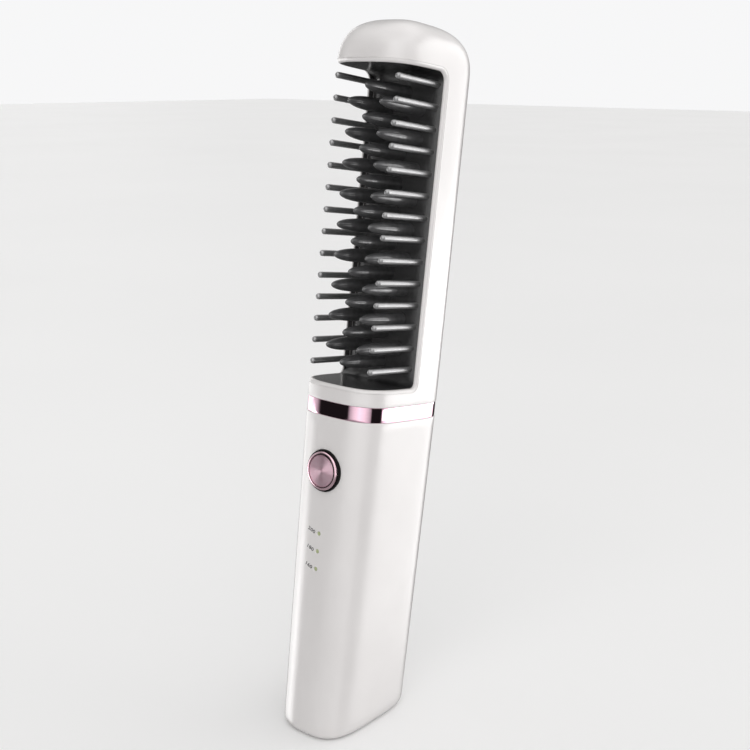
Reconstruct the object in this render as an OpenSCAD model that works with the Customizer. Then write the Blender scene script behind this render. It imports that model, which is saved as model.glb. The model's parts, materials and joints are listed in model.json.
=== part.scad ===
// Hair straightening brush: a tapered handle, a rose gold band and an open C-shaped comb head.
// Every module is drawn along the brush's own axis, with the pins toward -Y, and then leaned
// back so that the slanted base lies on z = 0.

/* [Body] */
// Width of the section at the head
body_width = 31; // [25:0.5:38]
// Front to back depth of the section at the head
body_depth = 40.8; // [34:0.2:49]
// Angle of the base cut, which is also how far the standing brush leans back
lean_angle = 8; // [0:1:10]
// Wall of both shells
shell_wall = 2.0; // [1.6:0.1:2.4]
// How much each side of the handle closes in toward the base
side_taper = 2.1; // [0:0.1:2.6]
// How much the front of the handle closes in toward the base
front_taper = 0.4; // [0:0.1:1]
// Rounding where the handle meets its base
base_edge_r = 2.6; // [2:0.1:3.2]

/* [Handle] */
// Length of the handle shell, base to band
handle_length = 100; // [83:1:120]
// Distance of the button's centre below the band
button_drop = 16.8; // [14:0.2:20]
// Diameter of the pressed button
button_d = 11.9; // [9.9:0.1:14.3]
// How far the button's face stands out of the front
button_proud = 1.3; // [1.1:0.1:1.6]
// Wall of the black ring round the button
bezel_wall = 0.4; // [0.3:0.05:0.8]
// How far the black ring stands out
bezel_proud = 0.5; // [0.2:0.1:0.6]
// How far the button travels
button_travel = 0.4; // [0.2:0.05:0.5]
// Distance of the lowest indicator below the band
led_drop = 48.1; // [44:0.1:52]
// Spacing of the three indicators
led_pitch = 5.65; // [4.7:0.05:6.8]
// Diameter of an indicator's window
led_d = 1.5; // [1.2:0.1:2]

/* [Band] */
// Height of the metal band
band_h = 4.7; // [3.8:0.1:5.7]
// How far the band lies below the shells' surface
band_step = 0.2; // [0.1:0.05:0.4]

/* [Head] */
// Height of the white collar between band and window
collar_h = 5.3; // [4.5:0.1:6.4]
// Height of the open window
window_h = 95.4; // [80:0.2:115]
// Height of the cap above the window
cap_h = 14.5; // [12.5:0.1:17.5]
// Height of the dome, which starts a little below the cap
dome_h = 15.1; // [14.5:0.1:18]
// Thickness of the shell's lip round the window, where the comb frame lies inside it
lip_w = 1.1; // [0.9:0.05:1.3]
// Radius of the window's inner corner under the cap
corner_top_r = 3; // [2:0.1:4]
// Radius of the window's inner corner at the collar
corner_bottom_r = 1.6; // [1:0.1:2.5]

/* [Comb] */
// Depth of the comb frame's floor, flush with the lip, behind the section's centre
floor_y = 1.3; // [1:0.05:1.6]
// Thickness of the comb frame's floor
floor_t = 1.6; // [1.3:0.1:1.9]
// Spacing of the guard pins
pin_pitch = 6.66; // [5.5:0.01:8]
// Diameter of a guard pin
pin_d = 1.9; // [1.6:0.1:2.3]
// Distance of a pin column from the shell's inner wall
pin_edge = 1.9; // [1.7:0.1:2.3]
// Room kept between the end pins and the window's ends
pin_end_room = 4; // [3:0.1:6]
// Depth of the pins' rounded ends behind the shell's front
tip_inset = 2.7; // [2:0.1:4]
// Spacing of the heating teeth
tooth_pitch = 9.18; // [7.7:0.01:11]
// Diameter of a tooth at its root
tooth_d = 4.5; // [3.8:0.1:5.4]
// Distance between a pin column and the column of teeth beside it
tooth_gap_x = 5.43; // [4.8:0.01:6]
// Room kept between the end teeth and the window's ends
tooth_end_room = 5.5; // [5:0.1:8]

/* [Inside] */
// Room between the battery cell and the side wall at the base
cell_side_gap = 2.25; // [2:0.05:4]
// Room below and above the battery cell, along the handle
cell_end_room = 35; // [33:0.5:45]
// Thickness of the heating plate
plate_t = 2; // [1.6:0.1:2.4]
// Thickness of the circuit board
board_t = 1.6; // [1.2:0.1:2]
// Clearance around a moving part
running_gap = 0.1; // [0.06:0.01:0.14]
// Clearance between parts that are fastened
fit_gap = 0.15; // [0.1:0.01:0.2]

/* [Hidden] */
$fn = 48;

// Points around one section, and the exponents of its rounded outline and of the dome
section_points = 48;
side_exponent = 2.8;
front_exponent = 4;
dome_exponent = 2.7;

// Heights along the axis
band_top = handle_length + band_h;
shelf_z = band_top + collar_h;
rim_z = shelf_z + window_h;
dome_z = rim_z + cap_h - dome_h;
liner_t = 1.2;
shelf_floor_top = shelf_z - liner_t - fit_gap;
shelf_floor_t = 2.1;
window_mid = (shelf_z + rim_z) / 2;

base_slope = tan(lean_angle);
// A length that reaches past the whole section
far = 60;
front_y = -body_depth / 2;

// The rows of guard pins and heating teeth along the window
pin_count = floor((window_h - 2 * pin_end_room) / pin_pitch) + 1;
pin_span = (pin_count - 1) * pin_pitch;
pin_shift = 0.9;
pin_first_z = window_mid - pin_span / 2 + pin_shift;
pin_last_z = pin_first_z + pin_span;
pin_x = body_width / 2 - shell_wall - pin_edge;
tip_y = body_depth / 2 - tip_inset;
tooth_count = floor((window_h - 2 * tooth_end_room) / tooth_pitch) + 1;
tooth_span = (tooth_count - 1) * tooth_pitch;
tooth_shift = 0.2;
tooth_first_z = window_mid - tooth_span / 2 + tooth_shift;
side_first_z = tooth_first_z + tooth_pitch / 2;
tooth_x = pin_x - tooth_gap_x;
tooth_tip_y = tip_y - 0.3;
tenon_r = 1.1;
tenon_gap = 0.03;

// The stack behind the comb frame's floor
pin_head_t = 0.9;
pin_head_r = pin_d / 2 + 0.4;
layer_gap = 0.05;
plate_y = floor_y + floor_t + fit_gap;
plate_back = plate_y + plate_t;
heater_y = plate_back + layer_gap;
heater_t = 1.3;
pad_y = heater_y + heater_t + layer_gap;
pad_t = 1.2;
clamp_y = pad_y + pad_t + layer_gap;
clamp_t = 0.9;
plate_half_w = pin_x - pin_head_r - 1.05;
plate_end_room = 4.2;
plate_z0 = shelf_z + plate_end_room;
plate_z1 = rim_z - plate_end_room;
screw_r = 1;
screw_hole_r = screw_r + 0.05;
screw_head_r = 1.9;
screw_head_t = 1.2;
post_r = 1.9;
clamp_hole_x = plate_half_w - post_r - 0.3;
clamp_zs = [plate_z0 + 9, (plate_z0 + plate_z1) / 2, plate_z1 - 8];
pad_half_w = clamp_hole_x - post_r - 0.1;
heater_half_w = pad_half_w - 1;
heater_l = (plate_z1 - plate_z0) / 2 - 7.5;
heater_mid = heater_l / 2 + 3;

// The leads, which pass down the spine behind the clamp
lead_y = clamp_y + clamp_t + 0.8;
heater_lead_x = heater_half_w / 2;
heater_lead_r = 0.6;
sensor_lead_r = 0.35;
sensor_lead_x = 0.6;
sensor_lead_y = lead_y + 1.8;
sensor_hole_r = 1.4;
lead_hole_r = 2.7;
lead_neck_x = 1.5;
lead_board_x = 3.5;
lead_end_drop = 2;
thermistor_half_w = 1.5;
thermistor_half_l = 2;
thermistor_t = 1.1;
fuse_r = 1.5;
fuse_l = 11;
fuse_rise = 12;

// The opening in the base, its ledge and the screws of its cap
base_opening_inset = base_edge_r + 1.4;
base_ledge_w = 1.2;
base_rebate_t = 1.8;
base_ledge_t = 3.4;
base_screw_l = 9;
base_head_z = 0.7;

// The battery, the board and what is on it
cell_d = body_width - 2 * (side_taper + shell_wall + cell_side_gap);
cell_l = handle_length - cell_end_room;
cell_z0 = 16;
board_y = front_y + 10.1;
board_back = board_y + board_t;
board_half_w = body_width / 2 - side_taper - shell_wall - 1.9;
board_z0 = 9;
board_z1 = handle_length - 6;
board_screw_zs = [board_z0 + 3, board_z1 - 7];
board_screw_x = board_half_w - 3;
board_screw_l = 6;
contact_gap = 0.05;
cell_front_gap = 1.95;
cell_y = board_back + cell_front_gap + cell_d / 2;
cell_cap_r = 3.2;
cell_cap_h = 0.8;
tab_t = 0.25;
base_screw_y = [cell_y - 5.4, body_depth / 2 - 8.4];
tab_half_w = 3;
tab_reach = 4;
ring_t = 0.6;
cradle_half_w = cell_d / 2 + 1.95;
switch_w = 6;
switch_t = 3.1;
plunger_r = 1.7;
plunger_out = button_travel + 1;
led_chip_t = 0.7;
led_chip_half = 0.8;
chip_half_w = 2.5;
chip_t = 1.2;
coil_half_w = 3.5;
coil_t = 3.1;
solder_gap = 0.02;
cradle_z0 = 9.5;
cradle_z1 = board_screw_zs[1] + 3;
rail_y0 = board_back + 4.3;
post_w = 2.2;
foot_r = 2.3;
foot_half_w = 4;
foot_h = 6;

// The charging socket
usb_w = 8.94;
usb_h = 3.2;
usb_wall = 0.3;
usb_z0 = 3;
usb_l = 7.3;
usb_back_t = 0.7;
tongue_half_w = 3.3;
tongue_half_t = 0.35;
usb_y = board_y - usb_h / 2 - contact_gap;

// The button, from its face inward
button_z = handle_length - button_drop;
button_hole_d = button_d + 2 * (running_gap + bezel_wall + contact_gap);
led_z = handle_length - led_drop;
face_y = front_y - button_proud;
button_skirt_t = 3.8;
bevel_w = 1;
bevel_h = 0.7;
disc_r = button_d / 2 - bevel_w - 0.1;
disc_t = 0.6;
stem_r = 1.6;
bezel_flange_r = button_hole_d / 2 + 1.4;
bezel_flange_t = 1;
bezel_flange_gap = 0.51;
bezel_back_y = inner_front_y(bezel_flange_r, button_z) + bezel_flange_gap + bezel_flange_t;
switch_face_y = board_y - switch_t;
plunger_face_y = switch_face_y - plunger_out;

// The light guides' common bar
guide_half_w = 2;
guide_over = 2;
guide_y0 = front_y + shell_wall + 0.7;
guide_y1 = front_y + 4.5;
guide_front_y = front_y + 0.15 + front_taper * (1 - led_z / handle_length);

// The joint between handle and head
sleeve_t = 1.6;
sleeve_drop = 7;
sleeve_bottom = handle_length - sleeve_drop;
sleeve_inset = shell_wall + fit_gap + side_taper * sleeve_drop / handle_length;
sleeve_top = shelf_floor_top - shelf_floor_t - fit_gap;
boss_r = 3;
boss_x = 5.5;
boss_y = body_depth / 2 - 7.9;
boss_rib_half_w = 1;
boss_rib_gap = sleeve_inset + 1;
neck_screw_l = 9;

function sign_of(v) = v < 0 ? -1 : 1;

// One closed outline: half width hx, from y0 at the front to y1 at the back
function outline(hx, y0, y1) = [
    for (i = [0 : section_points - 1])
    let (a = 360 * i / section_points)
    [
        hx * sign_of(cos(a)) * pow(abs(cos(a)), 2 / side_exponent),
        (y0 + y1) / 2 + (y1 - y0) / 2 * sign_of(sin(a)) * pow(abs(sin(a)), 2 / front_exponent)
    ]
];

// The depth of the handle's inner front, x from the middle and at height z
function inner_front_y(x, z) =
    let (
        t = 1 - z / handle_length,
        hx = body_width / 2 - side_taper * t - shell_wall,
        y0 = front_y + front_taper * t + shell_wall,
        y1 = body_depth / 2 - shell_wall,
        c = pow(x / hx, side_exponent / 2)
    )
    (y0 + y1) / 2 - (y1 - y0) / 2 * pow(1 - c * c, 1 / front_exponent);

// The head's outline, drawn in by inset and then scaled about the centre
function head_outline(inset = 0, scale = 1) =
    outline((body_width / 2 - inset) * scale, (front_y + inset) * scale, (body_depth / 2 - inset) * scale);

// One ring of the handle at height z: it narrows toward the base and slants with it
function handle_ring(z, inset = 0) =
    let (t = 1 - z / handle_length)
    [
        for (p = outline(body_width / 2 - side_taper * t - inset,
                         front_y + front_taper * t + inset,
                         body_depth / 2 - inset))
        [p.x, p.y, z + base_slope * t * p.y]
    ];

function head_ring(z, inset = 0, scale = 1) = [for (p = head_outline(inset, scale)) [p.x, p.y, z]];

// Rings of a dome that starts at z and is h high
function dome_rings(z, h, inset) = [
    for (a = [12 : 12 : 84])
    head_ring(z + h * sin(a), inset, pow(1 - pow(sin(a), dome_exponent), 1 / dome_exponent))
];

// The middle between two opposite points of a ring
function ring_middle(ring) = (ring[0] + ring[len(ring) / 2]) / 2;

// A closed solid through a list of rings, all in triangles: its two ends are fans about their middles
module loft(rings) {
    n = len(rings[0]);
    last = len(rings) - 1;
    first_middle = n * len(rings);
    polyhedron(
        points = concat(
            [for (ring = rings) each ring],
            [ring_middle(rings[0]), ring_middle(rings[last])]
        ),
        faces = [
            for (i = [0 : n - 1])
            let (j = (i + 1) % n)
            each [[first_middle, i, j], [first_middle + 1, last * n + j, last * n + i]],
            for (k = [0 : last - 1])
            for (i = [0 : n - 1])
            let (a = k * n + i, b = k * n + (i + 1) % n)
            each [[a, a + n, b + n], [a, b + n, b]]
        ]
    );
}

// A straight prism of the head's outline
module head_prism(z0, z1, inset) {
    translate([0, 0, z0]) linear_extrude(z1 - z0) polygon(head_outline(inset));
}

// Leans the whole brush back onto its base
module standing() {
    rotate([-lean_angle, 0, 0]) children();
}

// A cylinder from depth y0 back to depth y1
module rod_y(r, y0, y1, x = 0, z = 0) {
    translate([x, y0, z]) rotate([-90, 0, 0]) cylinder(r = r, h = y1 - y0);
}

// A box given by its middle in x, and its ends in y and z
module box(half_w, y0, y1, z0, z1, x = 0) {
    translate([x - half_w, y0, z0]) cube([2 * half_w, y1 - y0, z1 - z0]);
}

// A pan head screw along Y: its head's face is at y, and its shank runs back
module screw_y(y, length, x, z) {
    rod_y(screw_head_r, y, y + screw_head_t, x, z);
    rod_y(screw_r, y + screw_head_t - 0.01, y + length, x, z);
}

// The flat area of the base, at a given inset, from height z0 to z1
module base_plug(inset, z0, z1) {
    loft([for (z = [z0, z1]) handle_ring(z, inset)]);
}

module handle_outer() {
    loft(concat(
        [for (a = [0 : 18 : 90]) handle_ring(base_edge_r * (1 - cos(a)), base_edge_r * (1 - sin(a)))],
        [for (z = [35, 70, handle_length]) handle_ring(z)]
    ));
}

module handle_shell() {
    color("white")
    standing()
    difference() {
        handle_outer();
        loft([for (z = [base_ledge_t, 50, handle_length + 1]) handle_ring(z, shell_wall)]);
        base_plug(base_opening_inset, -1, base_rebate_t);
        base_plug(base_opening_inset + base_ledge_w, -1, base_ledge_t + 1);
        rod_y(button_hole_d / 2, -far, board_y, 0, button_z);
        for (i = [0 : 2]) rod_y(led_d / 2 + fit_gap, -far, board_y, 0, led_z + i * led_pitch);
    }
}

// A flat slot with round ends, along the axis
module slot_z(w, h, z0, z1, y) {
    translate([0, y, z0])
    linear_extrude(z1 - z0)
    union() {
        square([w - h, h], center = true);
        for (s = [-1, 1]) translate([s * (w - h) / 2, 0]) circle(d = h);
    }
}

module bottom_cap() {
    color("white")
    standing()
    difference() {
        union() {
            base_plug(base_opening_inset + fit_gap, 0.3, base_rebate_t - 0.1);
            base_plug(base_opening_inset + base_ledge_w + fit_gap, 1, base_ledge_t + 1);
        }
        slot_z(usb_w + 0.6, usb_h + 0.6, -5, 12, usb_y);
        for (y = base_screw_y)
        translate([0, y, base_slope * y]) {
            translate([0, 0, -5]) cylinder(r = screw_r + fit_gap, h = 15);
            translate([0, 0, -5]) cylinder(r = screw_head_r + 0.3, h = 5 + base_head_z + screw_head_t + 0.1);
        }
    }
}

module base_screws() {
    color("silver")
    standing()
    for (y = base_screw_y)
    translate([0, y, base_slope * y + base_head_z]) {
        cylinder(r = screw_head_r, h = screw_head_t);
        cylinder(r = screw_r, h = base_screw_l);
    }
}

module band_ring() {
    color("pink")
    standing()
    difference() {
        head_prism(handle_length + 0.05, band_top - 0.05, band_step);
        head_prism(handle_length - 1, band_top + 1, sleeve_inset - 0.05);
    }
}

module neck_sleeve() {
    color("gray")
    standing()
    difference() {
        union() {
            difference() {
                head_prism(sleeve_bottom, sleeve_top, sleeve_inset);
                head_prism(sleeve_bottom - 1, sleeve_top + 1, sleeve_inset + sleeve_t);
            }
            for (s = [-1, 1])
            translate([s * boss_x, boss_y, sleeve_bottom]) {
                cylinder(r = boss_r, h = sleeve_top - sleeve_bottom);
                translate([-boss_rib_half_w, 0, 0])
                cube([2 * boss_rib_half_w, body_depth / 2 - boss_y - boss_rib_gap,
                      sleeve_top - sleeve_bottom]);
            }
        }
        for (s = [-1, 1])
        translate([s * boss_x, boss_y, sleeve_bottom - 1]) cylinder(r = screw_hole_r, h = far);
    }
}

module head_shell() {
    color("white")
    standing()
    difference() {
        loft(concat([head_ring(band_top), head_ring(dome_z)], dome_rings(dome_z, dome_h, 0)));
        loft(concat(
            [head_ring(shelf_floor_top, shell_wall), head_ring(dome_z, shell_wall)],
            dome_rings(dome_z, dome_h - shell_wall, shell_wall)
        ));
        head_prism(band_top - 1, shelf_floor_top - shelf_floor_t, shell_wall);
        side_view() window_profile();
        intersection() {
            side_view() pocket_profile();
            head_prism(shelf_floor_top, rim_z + cap_h, lip_w);
        }
        for (s = [-1, 1])
        translate([s * boss_x, boss_y, shelf_floor_top - 5]) cylinder(r = screw_r + fit_gap, h = 6);
        translate([0, lead_y + 0.8, shelf_floor_top - 5]) cylinder(r = lead_hole_r, h = 6);
    }
}

// Extrudes an outline drawn as [y, z] across the whole width
module side_view() {
    rotate([90, 0, 90]) linear_extrude(2 * far, center = true) children();
}

// The open window from the side: square at the front, with a fillet at each inner corner
module window_profile() {
    difference() {
        translate([-far, shelf_z]) square([far + floor_y, window_h]);
        inner_fillet(rim_z, corner_top_r, -1);
        inner_fillet(shelf_z, corner_bottom_r, 1);
    }
}

// What a fillet of radius r leaves in the corner between the window's back and one of its ends
module inner_fillet(z, r, up) {
    translate([floor_y - r, z + up * r])
    difference() {
        translate([0, up > 0 ? -r - 1 : 0]) square([r + 1, r + 1]);
        circle(r = r);
    }
}

// The comb frame's outer outline from the side, and the pocket that takes it
module frame_block(gap = 0) {
    translate([-far - gap, shelf_z - liner_t - gap])
    square([far + floor_y + frame_depth + 2 * gap, window_h + 2 * (liner_t + gap)]);
}

module pocket_profile() {
    frame_block(fit_gap);
}

module neck_screws() {
    color("silver")
    standing()
    for (s = [-1, 1])
    translate([s * boss_x, boss_y, shelf_floor_top]) {
        cylinder(r = screw_head_r, h = screw_head_t);
        translate([0, 0, -neck_screw_l]) cylinder(r = screw_r, h = neck_screw_l + 0.1);
    }
}

frame_inset = lip_w + fit_gap;
frame_depth = 4.2;

module comb_frame() {
    color("black")
    standing()
    difference() {
        union() {
            difference() {
                intersection() {
                    side_view()
                    difference() {
                        frame_block();
                        window_profile();
                    }
                    head_prism(shelf_floor_top, rim_z + cap_h, frame_inset);
                }
                box(body_width, floor_y + floor_t, far, shelf_z + liner_t, pin_last_z + pin_head_r + 0.5);
            }
            for (z = clamp_zs)
            for (s = [-1, 1])
            rod_y(post_r, floor_y + floor_t - 0.1, clamp_y, s * clamp_hole_x, clamp_post_z(z));
        }
        for (z = side_teeth_z()) for (s = [-1, 1]) rod_y(tooth_hole_r(), -far, far, s * tooth_x, z);
        for (z = centre_teeth_z()) rod_y(tooth_hole_r(), -far, far, 0, z);
        for (z = pins_z()) for (s = [-1, 1]) rod_y(pin_d / 2 + 0.05, -far, far, s * pin_x, z);
        for (z = clamp_zs)
        for (s = [-1, 1])
        rod_y(screw_hole_r, floor_y + floor_t, far, s * clamp_hole_x, clamp_post_z(z));
    }
}

function tooth_hole_r() = tooth_d / 2 + fit_gap;
function pins_z() = [for (i = [0 : pin_count - 1]) pin_first_z + i * pin_pitch];
function centre_teeth_z() = [for (i = [0 : tooth_count - 1]) tooth_first_z + i * tooth_pitch];
function side_teeth_z() = [for (i = [0 : tooth_count - 2]) side_first_z + i * tooth_pitch];

// The clamp posts stand half way between two side teeth, in line with a centre tooth
function clamp_post_z(z) = tooth_first_z + round((z - tooth_first_z) / tooth_pitch) * tooth_pitch;

// One guard pin: a straight pin with a round end in front and a flat head behind the floor
module guard_pin(x, z) {
    rod_y(pin_d / 2, -tip_y + pin_d / 2, floor_y + floor_t + 0.1, x, z);
    translate([x, -tip_y + pin_d / 2, z]) sphere(r = pin_d / 2);
    rod_y(pin_head_r, floor_y + floor_t + 0.02, floor_y + floor_t + pin_head_t, x, z);
}

module pins_left() {
    color("dimgray") standing() for (z = pins_z()) guard_pin(-pin_x, z);
}

module pins_right() {
    color("dimgray") standing() for (z = pins_z()) guard_pin(pin_x, z);
}

// Half of a tooth's outline: s runs from the tip back to the heating plate
tooth_l = tooth_tip_y + plate_y;
tooth_steps = 12;
tooth_exponent = 3.5;
function tooth_r(s) = tooth_d / 2 * sqrt(1 - pow(1 - s / tooth_l, tooth_exponent));

module heating_tooth(x, z) {
    translate([x, -tooth_tip_y, z])
    rotate([-90, 0, 0])
    rotate_extrude()
    polygon(concat(
        [for (i = [0 : tooth_steps]) let (s = tooth_l * pow(i / tooth_steps, 2)) [tooth_r(s), s]],
        [[tenon_r, tooth_l], [tenon_r, tooth_l + plate_t - 0.2], [0, tooth_l + plate_t - 0.2]]
    ));
}

module teeth_left() {
    color("#2b2b2d") standing() for (z = side_teeth_z()) heating_tooth(-tooth_x, z);
}

module teeth_right() {
    color("#2b2b2d") standing() for (z = side_teeth_z()) heating_tooth(tooth_x, z);
}

module teeth_centre() {
    color("#2b2b2d") standing() for (z = centre_teeth_z()) heating_tooth(0, z);
}

module heating_plate() {
    color("silver")
    standing()
    difference() {
        box(plate_half_w, plate_y, plate_back, plate_z0, plate_z1);
        for (z = side_teeth_z()) for (s = [-1, 1]) rod_y(tenon_r + tenon_gap, -far, far, s * tooth_x, z);
        for (z = centre_teeth_z()) rod_y(tenon_r + tenon_gap, -far, far, 0, z);
        for (z = clamp_zs)
        for (s = [-1, 1])
        rod_y(post_r + 0.2, -far, far, s * clamp_hole_x, clamp_post_z(z));
    }
}

module ceramic_heaters() {
    color("white")
    standing()
    for (s = [-1, 1])
    box(heater_half_w, heater_y, heater_y + heater_t,
        window_mid + s * heater_mid - heater_l / 2, window_mid + s * heater_mid + heater_l / 2);
}

module thermistor() {
    color("orange")
    standing()
    box(thermistor_half_w, heater_y, heater_y + thermistor_t,
        window_mid - thermistor_half_l, window_mid + thermistor_half_l);
}

module thermal_fuse() {
    color("silver")
    standing()
    translate([0, clamp_y + clamp_t + fuse_r + 0.1, window_mid + fuse_rise])
    cylinder(r = fuse_r, h = fuse_l);
}

module insulation_pad() {
    color("tan")
    standing()
    difference() {
        box(pad_half_w, pad_y, pad_y + pad_t, plate_z0 + 1, plate_z1 - 1);
        rod_y(sensor_hole_r, -far, far, 0, window_mid);
    }
}

module heater_clamp() {
    color("silver")
    standing()
    difference() {
        union() {
            box(4.8, clamp_y, clamp_y + clamp_t, plate_z0 + 2, plate_z1 - 2);
            for (z = clamp_zs)
            box(plate_half_w, clamp_y, clamp_y + clamp_t, clamp_post_z(z) - 3, clamp_post_z(z) + 3);
        }
        for (z = clamp_zs)
        for (s = [-1, 1])
        rod_y(screw_r + fit_gap, -far, far, s * clamp_hole_x, clamp_post_z(z));
        rod_y(sensor_hole_r, -far, far, 0, window_mid);
    }
}

module clamp_screws() {
    color("silver")
    standing()
    for (z = clamp_zs)
    for (s = [-1, 1])
    translate([s * clamp_hole_x, 0, clamp_post_z(z)]) {
        rod_y(screw_head_r, clamp_y + clamp_t + 0.02, clamp_y + clamp_t + screw_head_t);
        rod_y(screw_r, clamp_y - 4.5, clamp_y + clamp_t + 0.1);
    }
}

// A lead drawn through its corner points, with a rounded kink at each
module lead(points, r) {
    for (i = [0 : len(points) - 2]) {
        a = points[i];
        b = points[i + 1];
        d = b - a;
        translate(a)
        rotate([0, acos(d.z / norm(d)), atan2(d.y, d.x)])
        cylinder(r = r, h = norm(d), $fn = 24);
        if (i > 0) translate(a) sphere(r = r * 1.25, $fn = 24);
    }
}

module heater_leads() {
    color("red")
    standing()
    for (s = [-1, 1])
    lead([
        [s * heater_lead_x, heater_y + heater_t / 2, window_mid - heater_mid - heater_l / 2 - 0.1],
        [s * heater_lead_x, heater_y + heater_t / 2, plate_z0 - 1.2],
        [s * lead_neck_x, lead_y, plate_z0 - 3],
        [s * lead_neck_x, lead_y, handle_length - lead_end_drop],
        [s * lead_board_x, board_back + 0.2, board_z1 - lead_end_drop]
    ], heater_lead_r);
}

module sensor_leads() {
    color("yellow")
    standing()
    for (s = [-1, 1])
    lead([
        [s * sensor_lead_x, heater_y + thermistor_t + 0.1, window_mid],
        [s * sensor_lead_x, sensor_lead_y, window_mid],
        [s * sensor_lead_x, sensor_lead_y, handle_length - 2 * lead_end_drop],
        [s * sensor_lead_x, board_back + 0.1, board_z1 - lead_end_drop]
    ], sensor_lead_r);
}

module button_bezel() {
    color("black")
    standing()
    difference() {
        union() {
            rod_y(button_hole_d / 2 - 0.05, front_y - bezel_proud, bezel_back_y, 0, button_z);
            rod_y(bezel_flange_r, bezel_back_y - bezel_flange_t, bezel_back_y, 0, button_z);
        }
        rod_y(button_d / 2 + running_gap, -far, far, 0, button_z);
    }
}

// The button: a bevelled cup that holds the spun disc, with a stem to the switch
module button_cap() {
    color("#d9a0ae")
    standing()
    translate([0, face_y, button_z])
    rotate([-90, 0, 0])
    difference() {
        rotate_extrude()
        polygon([
            [0, 0],
            [button_d / 2 - bevel_w, 0],
            [button_d / 2, bevel_h],
            [button_d / 2, button_skirt_t],
            [stem_r, button_skirt_t],
            [stem_r, plunger_face_y - face_y - contact_gap],
            [0, plunger_face_y - face_y - contact_gap]
        ]);
        translate([0, 0, -1]) cylinder(r = disc_r + 0.05, h = 1 + disc_t + 0.1);
    }
}

module button_disc() {
    color("#cf8fa2")
    standing()
    rod_y(disc_r, face_y + 0.1, face_y + 0.1 + disc_t, 0, button_z);
}

// Three clear posts on one bar behind the front wall
module light_guides() {
    color("lightgray")
    standing()
    union() {
        for (i = [0 : 2])
        rod_y(led_d / 2, guide_front_y, board_y - led_chip_t - 0.3, 0, led_z + i * led_pitch);
        box(guide_half_w, guide_y0, guide_y1, led_z - guide_over, led_z + 2 * led_pitch + guide_over);
    }
}

// The tray that carries the battery behind and the board in front
module battery_cradle() {
    cell_top = cell_z0 + cell_l;
    color("gray")
    standing()
    difference() {
        union() {
            box(cradle_half_w, rail_y0, cell_y + 3.2, cradle_z0, cradle_z1);
            box(foot_half_w, 0, base_screw_y[1] + foot_r + 0.1, cradle_z0, cell_z0 - 2.4);
            for (z = board_screw_zs)
            for (s = [-1, 1])
            rod_y(post_w, board_back + contact_gap, rail_y0 + 1, s * board_screw_x, z);
            for (y = base_screw_y)
            translate([0, y, base_ledge_t + 1.5 + base_slope * y]) cylinder(r = foot_r, h = foot_h);
        }
        translate([0, cell_y, cell_z0 - 1.2]) cylinder(r = cell_d / 2 + fit_gap, h = cell_l + 2.4);
        for (z = board_screw_zs)
        for (s = [-1, 1])
        rod_y(screw_hole_r, board_y, rail_y0 + 3, s * board_screw_x, z);
        for (y = base_screw_y) translate([0, y, 0]) cylinder(r = screw_hole_r, h = 12.6);
        box(tab_half_w + 0.5, board_y, cell_y, cell_top + 0.2, cell_top + 1.6);
        box(tab_half_w + 0.5, board_y, cell_y, cell_z0 - 1.6, cell_z0 - 0.2);
    }
}

module battery_cell() {
    color("steelblue")
    standing()
    translate([0, cell_y, cell_z0]) {
        cylinder(r = cell_d / 2, h = cell_l - cell_cap_h);
        cylinder(r = cell_cap_r, h = cell_l);
    }
}

// Nickel strips from the two ends of the cell to the back of the board
module cell_tabs() {
    color("silver")
    standing() {
        for (z = [cell_z0 - 0.1 - tab_t, cell_z0 + cell_l + 0.1])
        box(tab_half_w, board_back + contact_gap, cell_y + tab_reach, z, z + tab_t);
    }
}

module cell_rings() {
    color("white")
    standing()
    translate([0, cell_y, cell_z0 + cell_l - cell_cap_h + contact_gap])
    difference() {
        cylinder(r = cell_d / 2 - 0.3, h = ring_t);
        translate([0, 0, -1]) cylinder(r = cell_cap_r + 0.4, h = 3);
    }
}

module main_board() {
    color("green")
    standing()
    difference() {
        box(board_half_w, board_y, board_back, board_z0, board_z1);
        for (z = board_screw_zs)
        for (s = [-1, 1])
        rod_y(screw_r + fit_gap, -far, far, s * board_screw_x, z);
    }
}

module board_screws() {
    color("silver")
    standing()
    for (z = board_screw_zs)
    for (s = [-1, 1])
    screw_y(board_y - screw_head_t - solder_gap, board_screw_l, s * board_screw_x, z);
}

// The charging socket: a flat round-ended metal shell with its tongue
module usb_socket() {
    color("silver")
    standing()
    union() {
        difference() {
            slot_z(usb_w, usb_h, usb_z0, usb_z0 + usb_l, usb_y);
            slot_z(usb_w - 2 * usb_wall, usb_h - 2 * usb_wall,
                   usb_z0 - 1, usb_z0 + usb_l - usb_back_t, usb_y);
        }
        box(tongue_half_w, usb_y - tongue_half_t, usb_y + tongue_half_t,
            usb_z0 + 0.8, usb_z0 + usb_l - usb_back_t / 2);
    }
}

module switch_body() {
    color("black")
    standing()
    difference() {
        box(switch_w / 2, switch_face_y, board_y - solder_gap,
            button_z - switch_w / 2, button_z + switch_w / 2);
        rod_y(plunger_r + running_gap, -far, board_y - 0.8, 0, button_z);
    }
}

module switch_plunger() {
    color("white")
    standing()
    rod_y(plunger_r, plunger_face_y, switch_face_y + 1.2, 0, button_z);
}

// A component on the board's front: half its width, its height off the board and its ends
module chip(half_w, t, z0, z1, x = 0) {
    box(half_w, board_y - t, board_y - solder_gap, z0, z1, x);
}

module indicator_leds() {
    color("white")
    standing()
    for (i = [0 : 2])
    let (z = led_z + i * led_pitch)
    chip(led_chip_half, led_chip_t + solder_gap, z - led_chip_half / 2, z + led_chip_half / 2);
}

module power_coil() {
    color("dimgray")
    standing()
    chip(coil_half_w, coil_t, led_z - 20, led_z - 20 + 2 * coil_half_w);
}

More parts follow.
